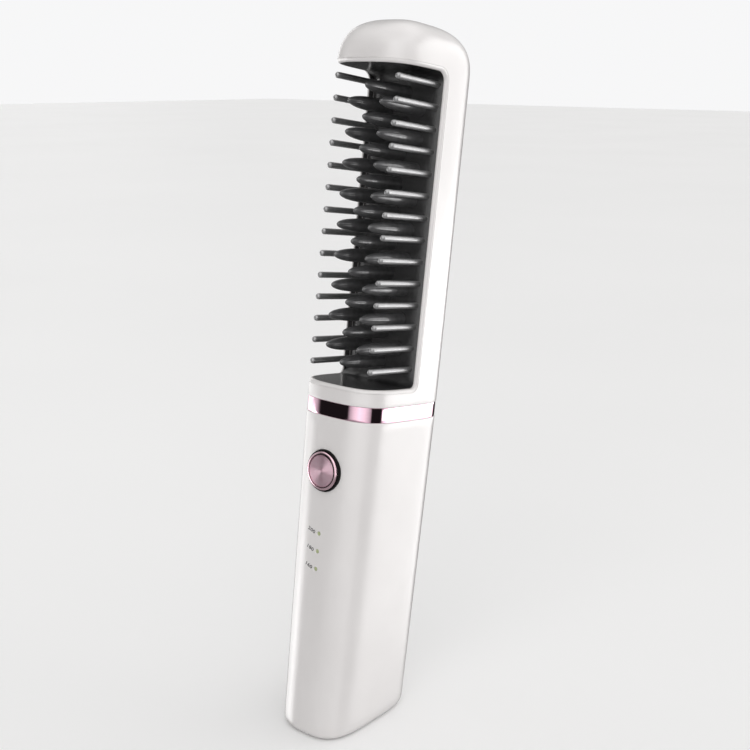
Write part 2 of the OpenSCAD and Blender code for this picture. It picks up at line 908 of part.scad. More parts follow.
module control_chips() {
    color("black")
    standing() {
        chip(chip_half_w, chip_t, board_z0 + 10, board_z0 + 16);
        chip(coil_half_w, chip_t, led_z - 9, led_z - 4);
        chip(chip_half_w, chip_t + 0.4, button_z - 11, button_z - 5, 3 - board_half_w);
    }
}

handle_shell();
bottom_cap();
base_screws();
band_ring();
neck_sleeve();
head_shell();
neck_screws();
comb_frame();
pins_left();
pins_right();
heating_plate();
teeth_left();
teeth_centre();
teeth_right();
ceramic_heaters();
thermistor();
thermal_fuse();
insulation_pad();
heater_clamp();
clamp_screws();
heater_leads();
sensor_leads();
button_bezel();
button_cap();
button_disc();
light_guides();
battery_cradle();
battery_cell();
cell_tabs();
cell_rings();
main_board();
board_screws();
usb_socket();
switch_body();
switch_plunger();
indicator_leds();
power_coil();
control_chips();
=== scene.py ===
import json
import math

import bmesh
import bpy
import numpy as np
from mathutils import Matrix, Vector


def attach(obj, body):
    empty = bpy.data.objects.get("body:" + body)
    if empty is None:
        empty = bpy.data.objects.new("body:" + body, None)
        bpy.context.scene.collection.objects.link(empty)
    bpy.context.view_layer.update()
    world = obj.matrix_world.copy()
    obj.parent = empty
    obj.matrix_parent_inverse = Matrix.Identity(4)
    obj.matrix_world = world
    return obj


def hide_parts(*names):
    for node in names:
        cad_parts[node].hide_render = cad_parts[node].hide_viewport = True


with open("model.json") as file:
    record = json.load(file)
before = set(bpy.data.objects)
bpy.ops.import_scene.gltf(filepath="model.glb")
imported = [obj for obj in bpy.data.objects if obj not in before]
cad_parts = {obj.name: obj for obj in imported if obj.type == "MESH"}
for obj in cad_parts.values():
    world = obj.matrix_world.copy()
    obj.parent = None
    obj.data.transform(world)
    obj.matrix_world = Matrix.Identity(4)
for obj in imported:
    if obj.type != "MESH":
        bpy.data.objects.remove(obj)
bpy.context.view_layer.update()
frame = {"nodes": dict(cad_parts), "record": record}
scene = bpy.context.scene
nodes = frame["nodes"]

# Sizes in millimetres, along the brush's own axis, with the comb toward -Y
LEAN = math.radians(8)
MM = 0.001
HALF_W = 15.5
HALF_D = 20.4
SIDE_EXP = 2.8
FRONT_EXP = 4.0
DOME_EXP = 2.7
HANDLE_L = 100.0
SIDE_TAPER = 2.1
FRONT_TAPER = 0.4
BASE_R = 2.6
WALL = 2.0
BAND_Z0 = 100.05
BAND_Z1 = 104.65
BAND_IN = 0.2
HEAD_Z0 = 104.7
SHELF_Z = 110.0
RIM_Z = 205.4
DOME_Z = 204.6
DOME_H = 15.2
EDGE_Y = 1.3
LIP_W = 1.1
LIP_R = 1.0
LIP_DEEP = 2.6
INSET_SHARE = 0.9
GROOVE_W = 0.25
GROOVE_D = 0.15
CORNER_TOP = 3.0
CORNER_LOW = 1.6
FRAME_IN = 1.25
FACE_IN = 0.6
FACE_HALF = 9.6
FACE_FALL = 1.3
FACE_START = 0.3
FACE_EASE_LOW = 3.0
FACE_EASE_TOP = 2.5
FACE_EDGE = 14.25
BORDER_W = 0.2
BORDER_IN = 0.15
BUTTON_Z = 83.2
LED_ZS = (51.9, 57.55, 63.2)
LED_R = 0.6
PIN_X = 11.6
PIN_R = 0.95
PIN_TIP = -17.7
PIN_MID = -8
PIN_ROOT = 2.5
PIN_ZS = [115.31 + 6.66 * i for i in range(14)]
TOOTH_X = 6.17
TOOTH_R = 2.25
TOOTH_TIP = -17.4
TOOTH_ROOT = 3.05
TOOTH_EXP = 3.5
CENTRE_ZS = [116.59 + 9.18 * i for i in range(10)]
SIDE_ZS = [z + 4.59 for z in CENTRE_ZS[:9]]

# Steps round each lathed shape
PIN_N = 32
GUIDE_N = 36
TOOTH_N = 40
LED_HOLE_N = 40
HOLE_N = 96
BUTTON_N = 128

# Limits for meshes: points this near are one, in metres, and edges above the angle stay sharp
WELD_DIST = 1e-7
THIN_DIST = 1e-8
SHARP_DEG = 35
ON_AXIS = 1e-6


# Helpers for meshes
def leaned(v):
    """A point of the brush's frame in millimetres, leaned back like the CAD and in metres."""
    x, y, z = v
    c, s = math.cos(LEAN), math.sin(LEAN)
    return (x * MM, (y * c + z * s) * MM, (z * c - y * s) * MM)


def shade(mesh, sharp_deg):
    """Smooth faces, with the edges above an angle kept sharp."""
    for p in mesh.polygons:
        p.use_smooth = True
    mesh.set_sharp_from_angle(angle=math.radians(sharp_deg))


def piece(name, verts, faces, material, body="brush", replaces=(), upright=False):
    """A welded mesh from points in millimetres in the brush's frame. An upright one leans by its object."""
    mesh = bpy.data.meshes.new(name)
    mesh.from_pydata([[c * MM for c in v] if upright else leaned(v) for v in verts], [], faces)
    mesh.update()
    bm = bmesh.new()
    bm.from_mesh(mesh)
    bmesh.ops.remove_doubles(bm, verts=bm.verts, dist=WELD_DIST)
    bmesh.ops.dissolve_degenerate(bm, dist=THIN_DIST, edges=bm.edges)
    bmesh.ops.recalc_face_normals(bm, faces=bm.faces)
    bm.to_mesh(mesh)
    bm.free()
    shade(mesh, SHARP_DEG)
    mesh.materials.append(material)
    obj = bpy.data.objects.new(name, mesh)
    scene.collection.objects.link(obj)
    if upright:
        obj.rotation_euler = (-LEAN, 0, 0)
    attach(obj, body)
    if replaces:
        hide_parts(*replaces)
    return obj


def loops_mesh(loops):
    """Verts and faces of a skin through loops of equal length, with the last joined to the first."""
    n = len(loops[0])
    verts = [p for loop in loops for p in loop]
    faces = []
    for k in range(len(loops)):
        here = k * n
        there = (k + 1) % len(loops) * n
        for i in range(n):
            j = (i + 1) % n
            faces.append((here + i, here + j, there + j, there + i))
    return verts, faces


def bridge(chain, flip=False):
    """Faces between rings of vertex numbers, each ring joined to the next."""
    faces = []
    for a, b in zip(chain, chain[1:]):
        for k in range(len(a)):
            m = (k + 1) % len(a)
            faces.append((a[m], a[k], b[k], b[m]) if flip else (a[k], a[m], b[m], b[k]))
    return faces


def lathe(profile, segments, x=0.0, z=0.0):
    """Revolves (radius, y) points about a line along Y through (x, z)."""
    verts, faces, rings = [], [], []
    for r, y in profile:
        if r < ON_AXIS:
            rings.append([len(verts)])
            verts.append((x, y, z))
        else:
            rings.append(list(range(len(verts), len(verts) + segments)))
            for i in range(segments):
                a = 2 * math.pi * i / segments
                verts.append((x + r * math.cos(a), y, z + r * math.sin(a)))
    for lower, upper in zip(rings, rings[1:]):
        for i in range(segments):
            j = (i + 1) % segments
            if len(lower) == 1 and len(upper) == 1:
                continue
            if len(lower) == 1:
                faces.append((lower[0], upper[j], upper[i]))
            elif len(upper) == 1:
                faces.append((lower[i], lower[j], upper[0]))
            else:
                faces.append((lower[i], lower[j], upper[j], upper[i]))
    return verts, faces


def joined(parts):
    """Several meshes as one."""
    verts, faces = [], []
    for v, f in parts:
        base = len(verts)
        verts += v
        faces += [tuple(base + i for i in face) for face in f]
    return verts, faces


# Outline of the section
def section(a, hx, y0, y1):
    """A point of the rounded section at angle a."""
    c, s = math.cos(a), math.sin(a)
    x = hx * math.copysign(abs(c) ** (2 / SIDE_EXP), c)
    y = (y0 + y1) / 2 + (y1 - y0) / 2 * math.copysign(abs(s) ** (2 / FRONT_EXP), s)
    return x, y


# Half of the section's outline as tables, from the front's centre to the back's
TABLE_N = 6000
TABLE_T = np.linspace(-1, 1, TABLE_N + 1)
TABLE_ANGLE = np.sign(TABLE_T) * (math.pi / 2) * TABLE_T ** 2
TABLE_X = HALF_W * np.abs(np.cos(TABLE_ANGLE)) ** (2 / SIDE_EXP)
TABLE_Y = HALF_D * np.sign(TABLE_ANGLE) * np.abs(np.sin(TABLE_ANGLE)) ** (2 / FRONT_EXP)
TABLE_X[0] = TABLE_X[-1] = 0.0
TABLE_S = np.concatenate([[0], np.cumsum(np.hypot(np.diff(TABLE_X), np.diff(TABLE_Y)))])
S_ALL = float(TABLE_S[-1])


def angle_at(s):
    """The section angle at arc length s from the front's centre."""
    return float(np.interp(s, TABLE_S, TABLE_ANGLE))


def s_at_y(y):
    """The arc length at depth y."""
    return float(np.interp(y, TABLE_Y, TABLE_S))


def normal_at(s):
    """The outward normal of the head's outline at arc length s."""
    reach = 0.05
    s0, s1 = max(s - reach, 0.0), min(s + reach, S_ALL)
    x0, x1 = np.interp([s0, s1], TABLE_S, TABLE_X)
    y0, y1 = np.interp([s0, s1], TABLE_S, TABLE_Y)
    if s < reach:
        x0, y0 = -x1, y1
    if s > S_ALL - reach:
        x1, y1 = -x0, y0
    dx, dy = x1 - x0, y1 - y0
    d = math.hypot(dx, dy)
    return dy / d, -dx / d


def ring_angles(n):
    """Angles of n points evenly spaced round the section, starting at the front's centre."""
    out = []
    for i in range(n):
        s = 2 * S_ALL * i / n
        out.append(angle_at(s) if s <= S_ALL else math.pi - angle_at(2 * S_ALL - s))
    return out


def handle_ring(z, inset, angles):
    """A ring round the tapered handle: level with the floor at the base, square to the axis at the top."""
    t = 1 - z / HANDLE_L
    slope = math.tan(LEAN) * t
    out = []
    for a in angles:
        x, y = section(a, HALF_W - SIDE_TAPER * t - inset, -HALF_D + FRONT_TAPER * t + inset, HALF_D - inset)
        out.append((x, y, z + slope * y))
    return out


def head_point(s, z, inset=0.0, side=1, dome_h=DOME_H):
    """A point of the head's surface at arc length s and height z, moved inward by inset."""
    x, y = float(np.interp(s, TABLE_S, TABLE_X)), float(np.interp(s, TABLE_S, TABLE_Y))
    nx, ny = normal_at(s)
    k = 1.0
    if z > DOME_Z:
        h = min((z - DOME_Z) / dome_h, 1.0)
        k = (1 - h ** DOME_EXP) ** (1 / DOME_EXP)
    inset = min(inset, INSET_SHARE * k * HALF_W)
    return (side * (x * k - inset * nx), y * k - inset * ny, z)


# Node helpers for materials
NOISE_LOW = 0.3
NOISE_HIGH = 0.7
TONE_DETAIL = 2.0
ROUGH_DETAIL = 3.0
ROUGH_SCALE = 1.7
GRAIN_DETAIL = 4.0


def new_material(name):
    mat = bpy.data.materials.new(name)
    mat.use_nodes = True
    tree = mat.node_tree
    return mat, tree, tree.nodes["Principled BSDF"]


def node(tree, kind, **settings):
    """A new node. A setting named in_X_Y sets the input "X Y", any other one sets an attribute."""
    n = tree.nodes.new(kind)
    for key, value in settings.items():
        if key.startswith("in_"):
            n.inputs[key[3:].replace("_", " ")].default_value = value
        else:
            setattr(n, key, value)
    return n


def noise_range(tree, coord, scale, low, high, detail, stretch):
    """A noise value carried between low and high."""
    if stretch:
        mapping = node(tree, "ShaderNodeMapping", in_Scale=stretch)
        tree.links.new(coord, mapping.inputs["Vector"])
        coord = mapping.outputs[0]
    noise = node(tree, "ShaderNodeTexNoise", in_Scale=scale, in_Detail=detail)
    tree.links.new(coord, noise.inputs["Vector"])
    ranged = node(tree, "ShaderNodeMapRange", in_From_Min=NOISE_LOW, in_From_Max=NOISE_HIGH,
                  in_To_Min=low, in_To_Max=high)
    tree.links.new(noise.outputs["Fac"], ranged.inputs["Value"])
    return ranged.outputs[0]


def tinted(tree, coord, dark, light, scale, stretch=None):
    """A colour that drifts between two close tones."""
    mix = node(tree, "ShaderNodeMix", data_type="RGBA")
    for socket in mix.inputs:
        if socket.name == "A" and socket.type == "RGBA":
            socket.default_value = (*dark, 1)
        if socket.name == "B" and socket.type == "RGBA":
            socket.default_value = (*light, 1)
    fac = noise_range(tree, coord, scale, 0, 1, TONE_DETAIL, stretch)
    tree.links.new(fac, mix.inputs["Factor"])
    return [o for o in mix.outputs if o.type == "RGBA"][0]


def grain_bump(tree, coord, scale, strength, distance, stretch):
    height = noise_range(tree, coord, scale, 0, 1, GRAIN_DETAIL, stretch)
    bump = node(tree, "ShaderNodeBump", in_Strength=strength, in_Distance=distance)
    tree.links.new(height, bump.inputs["Height"])
    return bump.outputs[0]


def surface(name, dark, light, rough, tone_scale, metallic=0.0, grain=(900.0, 0.15, 0.00003),
            coat=0.0, coat_rough=0.1, specular=0.5, stretch=None):
    """A procedural surface: drifting tone, uneven roughness and a fine moulded or machined grain."""
    mat, tree, bsdf = new_material(name)
    coord = node(tree, "ShaderNodeTexCoord").outputs["Object"]
    tone = tinted(tree, coord, dark, light, tone_scale, stretch)
    tree.links.new(tone, bsdf.inputs["Base Color"])
    uneven = noise_range(tree, coord, tone_scale * ROUGH_SCALE, *rough, ROUGH_DETAIL, stretch)
    tree.links.new(uneven, bsdf.inputs["Roughness"])
    tree.links.new(grain_bump(tree, coord, *grain, stretch), bsdf.inputs["Normal"])
    bsdf.inputs["Metallic"].default_value = metallic
    bsdf.inputs["Specular IOR Level"].default_value = specular
    bsdf.inputs["Coat Weight"].default_value = coat
    bsdf.inputs["Coat Roughness"].default_value = coat_rough
    return mat


shell_white = surface("shell_white", (0.80, 0.775, 0.77), (0.83, 0.805, 0.80), (0.30, 0.36),
                      tone_scale=60, grain=(1500.0, 0.06, 0.00002), coat=1.0, coat_rough=0.22, specular=0.9)
rose_band = surface("rose_band", (0.86, 0.56, 0.68), (0.91, 0.62, 0.74), (0.05, 0.09), metallic=1.0,
                    tone_scale=300, grain=(60.0, 0.05, 0.00002), stretch=(1, 1, 30))
rose_button = surface("rose_button", (0.88, 0.60, 0.68), (0.92, 0.66, 0.74), (0.18, 0.24), metallic=1.0,
                      tone_scale=400, grain=(2500.0, 0.06, 0.00001))
comb_black = surface("comb_black", (0.010, 0.010, 0.011), (0.018, 0.018, 0.019), (0.38, 0.46),
                     tone_scale=900, grain=(2400.0, 0.8, 0.00009), specular=1.0, coat=0.9, coat_rough=0.18)
pin_grey = surface("pin_grey", (0.44, 0.44, 0.445), (0.49, 0.49, 0.495), (0.42, 0.48), metallic=0.85,
                   tone_scale=700, grain=(3000.0, 0.04, 0.00002), coat=0.3, coat_rough=0.06)
tooth_coat = surface("tooth_coat", (0.10, 0.10, 0.103), (0.14, 0.14, 0.144), (0.34, 0.42), metallic=0.5,
                     tone_scale=600, grain=(2800.0, 0.05, 0.00002), coat=1.0, coat_rough=0.035)
# Near-black, barely reflective bezel ring: the ring is a real part, but its blackness is painted shade
# standing in for the dark gap round the button
bezel_black = surface("bezel_black", (0.005, 0.005, 0.005), (0.009, 0.009, 0.009), (0.5, 0.6),
                      tone_scale=700, grain=(2600.0, 0.1, 0.00002), specular=0.15)
guide_clear = surface("guide_clear", (0.40, 0.45, 0.25), (0.48, 0.53, 0.32), (0.22, 0.32),
                      tone_scale=900, grain=(2000.0, 0.1, 0.00002))
print_grey = surface("print_grey", (0.018, 0.017, 0.018), (0.035, 0.034, 0.035), (0.5, 0.6),
                     tone_scale=2500, grain=(5000.0, 0.2, 0.00001))
inner_grey = surface("inner_grey", (0.30, 0.30, 0.31), (0.38, 0.38, 0.39), (0.5, 0.6), tone_scale=150)
steel = surface("steel", (0.52, 0.52, 0.53), (0.64, 0.64, 0.65), (0.25, 0.38), metallic=1.0,
                tone_scale=500)
nickel = surface("nickel", (0.58, 0.57, 0.53), (0.68, 0.67, 0.62), (0.25, 0.35), metallic=1.0,
                 tone_scale=400)
plate_alu = surface("plate_alu", (0.62, 0.62, 0.64), (0.74, 0.74, 0.76), (0.3, 0.42), metallic=1.0,
                    tone_scale=300, stretch=(1, 1, 0.05))
heater_ceramic = surface("heater_ceramic", (0.80, 0.78, 0.73), (0.88, 0.86, 0.81), (0.5, 0.65),
                         tone_scale=600)
pad_mica = surface("pad_mica", (0.42, 0.35, 0.24), (0.58, 0.50, 0.36), (0.4, 0.6), tone_scale=500)
lead_red = surface("lead_red", (0.44, 0.04, 0.03), (0.55, 0.06, 0.05), (0.4, 0.5), tone_scale=800)
lead_white = surface("lead_white", (0.70, 0.69, 0.65), (0.80, 0.79, 0.75), (0.4, 0.5), tone_scale=800)
cell_wrap = surface("cell_wrap", (0.07, 0.26, 0.40), (0.10, 0.32, 0.48), (0.25, 0.35), tone_scale=200,
                    coat=0.4)
paper_ring = surface("paper_ring", (0.74, 0.73, 0.70), (0.84, 0.83, 0.80), (0.8, 0.9), tone_scale=2000)
board_green = surface("board_green", (0.02, 0.16, 0.06), (0.04, 0.24, 0.10), (0.3, 0.45), tone_scale=900,
                      coat=0.3)
chip_black = surface("chip_black", (0.03, 0.03, 0.033), (0.05, 0.05, 0.055), (0.5, 0.65), tone_scale=1500)
white_small = surface("white_small", (0.74, 0.74, 0.71), (0.84, 0.84, 0.81), (0.35, 0.45), tone_scale=900)


# The spun disc: its rings as noise over the radius, its roughness and its two tones
RING_SCALE = 9000.0
RING_DETAIL = 3.0
RING_BUMP = 0.25
RING_DEPTH = 0.00001
DISC_ROUGH = (0.34, 0.40)
DISC_DARK = (0.94, 0.62, 0.73)
DISC_LIGHT = (0.98, 0.70, 0.80)
DISC_TONE = 500


def spun_metal():
    """Spun metal: fine rings about the button's axis."""
    mat, tree, bsdf = new_material("rose_disc")
    coord = node(tree, "ShaderNodeTexCoord").outputs["Object"]
    offset = node(tree, "ShaderNodeMapping")
    offset.inputs["Location"].default_value = (0, 0, -BUTTON_Z * MM)
    tree.links.new(coord, offset.inputs["Vector"])
    parts = node(tree, "ShaderNodeSeparateXYZ")
    tree.links.new(offset.outputs[0], parts.inputs[0])
    xx = node(tree, "ShaderNodeMath", operation="MULTIPLY")
    zz = node(tree, "ShaderNodeMath", operation="MULTIPLY")
    for axis, square in (("X", xx), ("Z", zz)):
        tree.links.new(parts.outputs[axis], square.inputs[0])
        tree.links.new(parts.outputs[axis], square.inputs[1])
    total = node(tree, "ShaderNodeMath", operation="ADD")
    tree.links.new(xx.outputs[0], total.inputs[0])
    tree.links.new(zz.outputs[0], total.inputs[1])
    radius = node(tree, "ShaderNodeMath", operation="SQRT")
    tree.links.new(total.outputs[0], radius.inputs[0])
    rings = node(tree, "ShaderNodeTexNoise", noise_dimensions="1D", in_Scale=RING_SCALE,
                 in_Detail=RING_DETAIL)
    tree.links.new(radius.outputs[0], rings.inputs["W"])
    bump = node(tree, "ShaderNodeBump", in_Strength=RING_BUMP, in_Distance=RING_DEPTH)
    tree.links.new(rings.outputs["Fac"], bump.inputs["Height"])
    tree.links.new(bump.outputs[0], bsdf.inputs["Normal"])
    uneven = node(tree, "ShaderNodeMapRange", in_To_Min=DISC_ROUGH[0], in_To_Max=DISC_ROUGH[1])
    tree.links.new(rings.outputs["Fac"], uneven.inputs["Value"])
    tree.links.new(uneven.outputs[0], bsdf.inputs["Roughness"])
    tone = tinted(tree, coord, DISC_DARK, DISC_LIGHT, DISC_TONE)
    tree.links.new(tone, bsdf.inputs["Base Color"])
    tangent = node(tree, "ShaderNodeTangent", direction_type="RADIAL", axis="Y")
    tree.links.new(tangent.outputs[0], bsdf.inputs["Tangent"])
    bsdf.inputs["Metallic"].default_value = 0.8
    bsdf.inputs["Anisotropic"].default_value = 1.0
    bsdf.inputs["Anisotropic Rotation"].default_value = 0.25
    return mat


rose_disc = spun_metal()

SLOT_MATERIALS = {
    "shell_white": shell_white, "rose_band": rose_band, "rose_button": rose_button, "rose_disc": rose_disc,
    "comb_black": comb_black, "pin_grey": pin_grey, "tooth_coat": tooth_coat, "bezel_black": bezel_black,
    "guide_clear": guide_clear, "inner_grey": inner_grey, "steel": steel, "nickel": nickel,
    "plate_alu": plate_alu, "heater_ceramic": heater_ceramic, "pad_mica": pad_mica, "lead_red": lead_red,
    "lead_white": lead_white, "cell_wrap": cell_wrap, "paper_ring": paper_ring, "board_green": board_green,
    "chip_black": chip_black, "white_small": white_small,
}
for part in frame["record"]["subparts"]:
    mesh = nodes[part["node"]].data
    mesh.materials.clear()
    mesh.materials.append(SLOT_MATERIALS[part["material_slot"]])


# Handle shell
def quarter(steps):
    """Angles that divide a right angle into equal steps."""
    return [math.pi / 2 * i / steps for i in range(steps + 1)]


def hole_cutter(r, flare_y, throat_y, end_y, segments, z):
    """A cutter for a round hole through the handle's front wall, flared toward its mouth."""
    outside_y = -30
    wide = r + 0.5
    profile = [(0, outside_y), (wide, outside_y), (wide, flare_y), (r, throat_y), (r, end_y), (0, end_y)]
    return lathe(profile, segments, 0, z)


def build_handle():
    angles = ring_angles(200)
    top_r = 0.25
    rows = 40
    floor_z, floor_in = 3.4, 5.2
    seat_z, seat_in = 1.8, 4.0
    chamfer = 0.25
    loops = [handle_ring(BASE_R * (1 - math.sin(a)), BASE_R * (1 - math.cos(a)), angles) for a in quarter(5)]
    loops.reverse()
    z0, z1 = BASE_R, HANDLE_L - top_r
    for i in range(1, rows + 1):
        loops.append(handle_ring(z0 + (z1 - z0) * i / rows, 0, angles))
    for a in quarter(4)[1:]:
        loops.append(handle_ring(z1 + top_r * math.sin(a), top_r * (1 - math.cos(a)), angles))
    inside = [(z, WALL) for z in (HANDLE_L, 60, 30, floor_z)]
    inside += [(floor_z, floor_in), (seat_z, floor_in), (seat_z, seat_in), (chamfer, seat_in)]
    inside.append((0.0, seat_in - chamfer))
    for z, inset in inside:
        loops.append(handle_ring(z, inset, angles))
    verts, faces = loops_mesh(loops)
    obj = piece("handle_skin", verts, faces, shell_white, replaces=["handle_shell"])
    cuts = [hole_cutter(6.5, -20.75, -20.15, -12, HOLE_N, BUTTON_Z)]
    cuts += [hole_cutter(LED_R + 0.06, -20.5, -20.05, -15, LED_HOLE_N, z) for z in LED_ZS]
    verts, faces = joined(cuts)
    mesh = bpy.data.meshes.new("cutter")
    mesh.from_pydata([leaned(v) for v in verts], [], faces)
    bm = bmesh.new()
    bm.from_mesh(mesh)
    bmesh.ops.recalc_face_normals(bm, faces=bm.faces)
    bm.to_mesh(mesh)
    bm.free()
    cutter = bpy.data.objects.new("cutter", mesh)
    scene.collection.objects.link(cutter)
    mod = obj.modifiers.new("holes", "BOOLEAN")
    mod.operation = "DIFFERENCE"
    mod.solver = "EXACT"
    mod.object = cutter
    bpy.context.view_layer.update()
    done = bpy.data.meshes.new_from_object(obj.evaluated_get(bpy.context.evaluated_depsgraph_get()))
    obj.modifiers.clear()
    obj.data = done
    shade(done, 30)
    done.materials.clear()
    done.materials.append(shell_white)
    for p in done.polygons:
        p.material_index = 0
    bpy.data.objects.remove(cutter)


build_handle()


# Metal band
def build_band():
    n = 320
    r = 0.08
    crown = 0.03
    crown_steps = 6
    inner_in = 2.2
    lengths = [2 * S_ALL * i / n for i in range(n)]

    def ring(z, inset):
        out = []
        for s in lengths:
            if s <= S_ALL:
                out.append(head_point(s, z, inset))
            else:
                out.append(head_point(2 * S_ALL - s, z, inset, side=-1))
        return out

    loops = []
    for a in quarter(5):
        loops.append(ring(BAND_Z0 + r * (1 - math.cos(a)), BAND_IN + r * (1 - math.sin(a))))
    for i in range(1, crown_steps):
        t = i / crown_steps
        loops.append(ring(BAND_Z0 + r + (BAND_Z1 - BAND_Z0 - 2 * r) * t, BAND_IN - crown * 4 * t * (1 - t)))
    for a in reversed(quarter(5)):
        loops.append(ring(BAND_Z1 - r * (1 - math.cos(a)), BAND_IN + r * (1 - math.sin(a))))
    loops.append(ring(BAND_Z1, inner_in))
    loops.append(ring(BAND_Z0, inner_in))
    verts, faces = loops_mesh(loops)
    piece("band", verts, faces, rose_band, replaces=["band_ring"])


build_band()


# Head shell
def build_head():
    s_edge = s_at_y(EDGE_Y)
    col_n, arc_n, back_n = 26, 5, 22
    collar_n, side_n, cap_n = 5, 44, 34
    rise = quarter(2 * arc_n)

    def border(d):
        """The window's border at distance d from its edge: nodes along the foot, the side and the top."""
        low_r, top_r = CORNER_LOW + d, CORNER_TOP + d
        foot, side, top = [], [], []
        cs, cz = s_edge + d - low_r, SHELF_Z - d + low_r
        foot += [(cs * i / col_n, SHELF_Z - d) for i in range(col_n)]
        foot += [(cs + low_r * math.sin(a), cz - low_r * math.cos(a)) for a in rise[:arc_n + 1]]
        side += [(cs + low_r * math.sin(a), cz - low_r * math.cos(a)) for a in rise[arc_n:]]
        ts, tz = s_edge + d - top_r, RIM_Z + d - top_r
        side += [(s_edge + d, cz + (tz - cz) * i / side_n) for i in range(1, side_n)]
        side += [(ts + top_r * math.cos(a), tz + top_r * math.sin(a)) for a in rise[:arc_n + 1]]
        top += [(ts * i / col_n, RIM_Z + d) for i in range(col_n)]
        top += [(ts + top_r * math.cos(a), tz + top_r * math.sin(a)) for a in reversed(rise[arc_n:])]
        return foot, side, top

    foot, side, top = border(LIP_R + GROOVE_W)
    j0 = len(foot) - 1
    i0 = collar_n
    i1 = i0 + len(side) - 1
    cols = j0 + back_n
    rows = i1 + cap_n
    foot_r = 0.25
    groove_wall = 0.05
    z_start = HEAD_Z0 + foot_r

    def dome_t(z):
        return math.asin(min(max((z - DOME_Z) / DOME_H, 0.0), 1.0) ** (DOME_EXP / 2))

    def place(i, j):
        """Arc length and height of grid point (i, j) on the right half."""
        if i <= i0:
            if j <= j0:
                s, z = foot[j]
            else:
                s = foot[j0][0] + (S_ALL - foot[j0][0]) * (j - j0) / back_n
                z = foot[j0][1]
            return s, z_start + (z - z_start) * i / i0
        if i < i1:
            s, z = side[i - i0]
            return s + (S_ALL - s) * (j - j0) / back_n, z
        if j <= j0:
            s, z = top[j]
        else:
            s = top[j0][0] + (S_ALL - top[j0][0]) * (j - j0) / back_n
            z = top[j0][1]
        t = dome_t(z)
        t += (math.pi / 2 - t) * (i - i1) / cap_n
        if i == i1:
            return s, z
        return s, DOME_Z + DOME_H * math.sin(t) ** (2 / DOME_EXP)

    verts, faces = [], []

    def skin(inset, flip):
        index = {}
        inner_h = DOME_H - inset
        for i in range(rows + 1):
            for j in range(cols + 1):
                if i0 < i < i1 and j < j0:
                    continue
                s, z = place(i, j)
                if inset and z > DOME_Z:
                    z = DOME_Z + (z - DOME_Z) * inner_h / DOME_H
                if i == rows:
                    if j == 0:
                        pole = len(verts)
                        verts.append((0.0, 0.0, DOME_Z + inner_h))
                    index[(i, j)] = index[(i, -j)] = pole
                    continue
                if inset and i == 0:
                    z = HEAD_Z0
                for sign in ((1,) if j in (0, cols) else (1, -1)):
                    index[(i, sign * j)] = len(verts)
                    verts.append(head_point(s, z, inset, sign, inner_h if inset else DOME_H))
                if j == cols:
                    index[(i, -j)] = index[(i, j)]
        for i in range(rows):
            for j in range(-cols, cols):
                corners = [(i, j), (i, j + 1), (i + 1, j + 1), (i + 1, j)]
                if any(c not in index for c in corners):
                    continue
                if i0 <= i < i1 and -j0 <= j < j0:
                    continue
                face = []
                for c in corners:
                    if index[c] not in face:
                        face.append(index[c])
                if flip:
                    face.reverse()
                faces.append(tuple(face))
        return index

    outer = skin(0.0, False)
    inner = skin(WALL, True)

    def border_ids(index):
        ids = [index[(i0, j)] for j in range(-j0, j0)]
        ids += [index[(i, j0)] for i in range(i0, i1)]
        ids += [index[(i1, j)] for j in range(j0, -j0, -1)]
        ids += [index[(i, -j0)] for i in range(i1, i0, -1)]
        return ids

    def border_points(d, inset):
        foot, side, top = border(d)
        row = [(foot[abs(j)], 1 if j >= 0 else -1) for j in range(-j0, j0)]
        row += [(side[i - i0], 1) for i in range(i0, i1)]
        row += [(top[abs(j)], 1 if j >= 0 else -1) for j in range(j0, -j0, -1)]
        row += [(side[i - i0], -1) for i in range(i1, i0, -1)]
        first = len(verts)
        for (s, z), sign in row:
            verts.append(head_point(s, z, inset, sign))
        return list(range(first, len(verts)))

    chain = [border_ids(outer)]
    chain.append(border_points(LIP_R + GROOVE_W - groove_wall, GROOVE_D))
    chain.append(border_points(LIP_R + groove_wall, GROOVE_D))
    for a in quarter(6):
        chain.append(border_points(LIP_R * (1 - math.sin(a)), LIP_R * (1 - math.cos(a))))
    chain.append(border_points(0.0, LIP_W))
    chain.append(border_points(LIP_DEEP, LIP_W))
    chain.append(border_ids(inner))
    faces += bridge(chain)

    def rim_points(z, inset):
        first = len(verts)
        for j in range(-cols, cols):
            s, _ = place(0, abs(j))
            verts.append(head_point(s, z, inset, 1 if j >= 0 else -1))
        return list(range(first, len(verts)))

    chain = [[outer[(0, j)] for j in range(-cols, cols)]]
    for a in quarter(3)[1:]:
        chain.append(rim_points(z_start - foot_r * math.sin(a), foot_r * (1 - math.cos(a))))
    chain.append([inner[(0, j)] for j in range(-cols, cols)])
    faces += bridge(chain, flip=True)
    piece("head_skin", verts, faces, shell_white, replaces=["head_shell"])


build_head()


